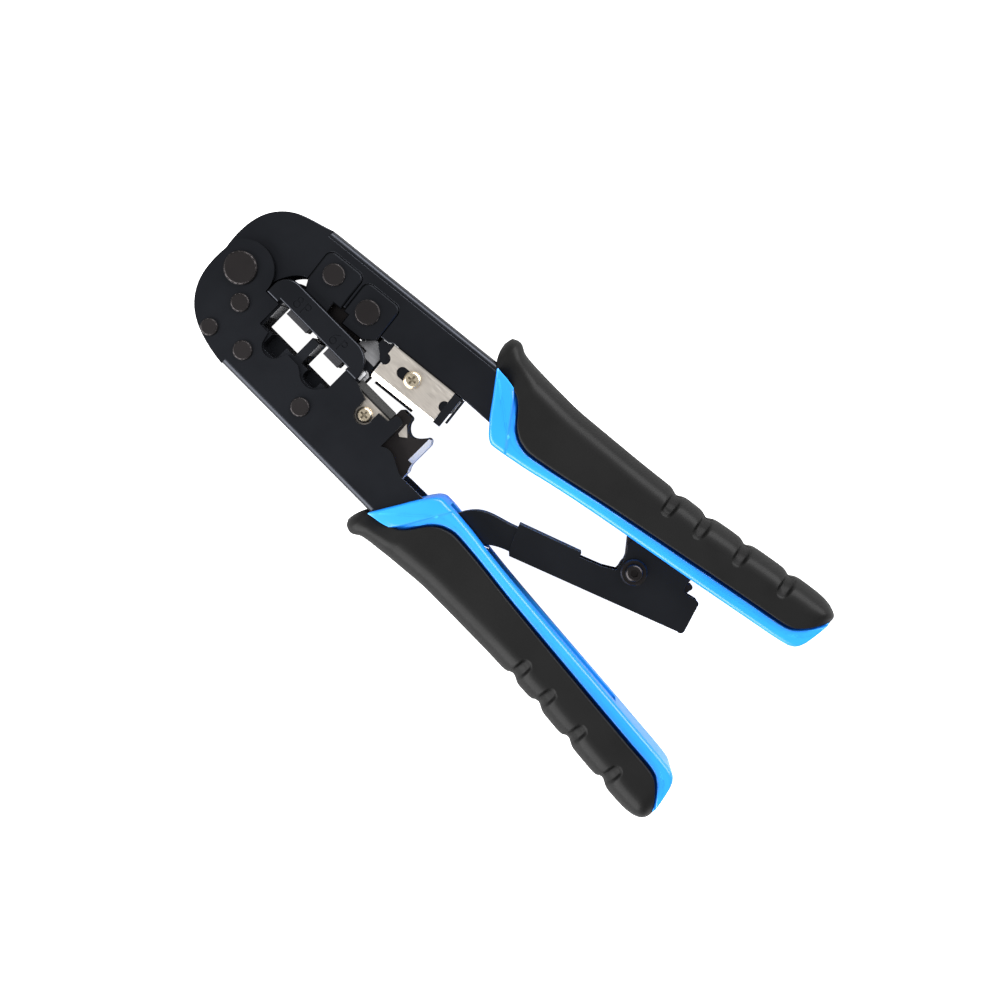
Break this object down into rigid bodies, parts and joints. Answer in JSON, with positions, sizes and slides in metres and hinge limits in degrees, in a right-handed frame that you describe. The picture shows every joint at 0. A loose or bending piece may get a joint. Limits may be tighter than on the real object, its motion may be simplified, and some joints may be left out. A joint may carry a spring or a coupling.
{
  "type": "modular plug crimping tool",
  "caption": "Ratcheting hand crimping tool for 8- and 6-position modular plugs, with wire cutter, stripping notch and two-tone handles",
  "frame": {"origin": "on the main pivot's axis, midway through the tool's thickness", "axes": "+X along the lower arm towards the handle ends, +Y from the lower arm to the upper arm, +Z along the pivot towards the front face"},
  "size_m": [0.1979, 0.0835, 0.021],
  "materials": {
    "black_steel": "satin black oxide",
    "black_rivet": "satin black",
    "black_screw": "black oxide, lightly oiled",
    "dark_steel": "blackened hardened steel",
    "plain_steel": "turned",
    "nest_steel": "machined, nickel plated",
    "blade_steel": "ground",
    "spring_steel": "drawn wire",
    "nickel": "yellow passivated",
    "blue_plastic": "semi-gloss moulded",
    "black_grip": "fine matte"
  },
  "bodies": {
    "lower_frame": {"lower_arm": "black_steel", "pivot_rivet": "black_rivet", "pivot_bush": "plain_steel", "pivot_shims": "plain_steel", "plug_nest": "nest_steel", "nest_rivets": "black_rivet", "guide_bar_front": "black_steel", "guide_bar_back": "black_steel", "guide_dowels": "plain_steel", "die_springs": "spring_steel", "stripper_block": "black_steel", "stripping_blade": "blade_steel", "lower_blade": "blade_steel", "lower_blade_screw": "nickel", "lower_handle_core": "blue_plastic", "lower_grip": "black_grip", "strut_pin": "plain_steel", "strut_spacer": "plain_steel", "opening_spring": "spring_steel"},
    "upper_frame": {"upper_arm": "black_steel", "pusher_block": "dark_steel", "pusher_pads_front": "black_steel", "pusher_pads_back": "black_steel", "pad_rivets": "black_rivet", "blade_holder": "black_steel", "upper_blade": "blade_steel", "upper_blade_screw": "nickel", "strip_gauge": "black_steel", "upper_handle_core": "blue_plastic", "upper_grip": "black_grip", "link_pin": "plain_steel", "link_spacers": "plain_steel"},
    "die": {"die_block": "dark_steel", "punch_8": "plain_steel", "punch_6": "plain_steel"},
    "strut": {"strut_bar": "black_steel", "strut_channel": "black_steel", "elbow_screw": "black_screw", "elbow_washer": "black_screw", "elbow_nut": "black_screw", "pawl_pin": "plain_steel", "pawl_spring": "spring_steel"},
    "ratchet_link": {"ratchet_link": "dark_steel"},
    "pawl": {"pawl": "dark_steel"}
  },
  "joints": [
    {"name": "main_hinge", "type": "hinge", "parent": "lower_frame", "child": "upper_frame", "pos_m": [0, 0, 0], "axis": [0, 0, -1], "range_deg": [0, 6.5]},
    {"name": "strut_fold", "type": "hinge", "parent": "lower_frame", "child": "strut", "pos_m": [0.0945, -0.013, 0], "axis": [0, 0, -1], "range_deg": [0, 14], "deforming": ["opening_spring"]},
    {"name": "link_swing", "type": "hinge", "parent": "upper_frame", "child": "ratchet_link", "pos_m": [0.1263, 0.031, 0], "axis": [0, 0, 1], "range_deg": [0, 24]},
    {"name": "die_slide", "type": "slide", "parent": "lower_frame", "child": "die", "axis": [0, -1, 0], "range_m": [0, 0.00286], "deforming": ["die_springs"]},
    {"name": "pawl_lift", "type": "hinge", "parent": "strut", "child": "pawl", "pos_m": [0.1495, 0.0175, 0], "axis": [0, 0, 1], "range_deg": [0, 10]}
  ],
  "couplings": [
    {"joint": "strut_fold", "follows": "main_hinge", "ratio": 2.1},
    {"joint": "link_swing", "follows": "main_hinge", "ratio": 3.63},
    {"joint": "die_slide", "follows": "main_hinge", "m_per_rad": 0.02512}
  ]
}
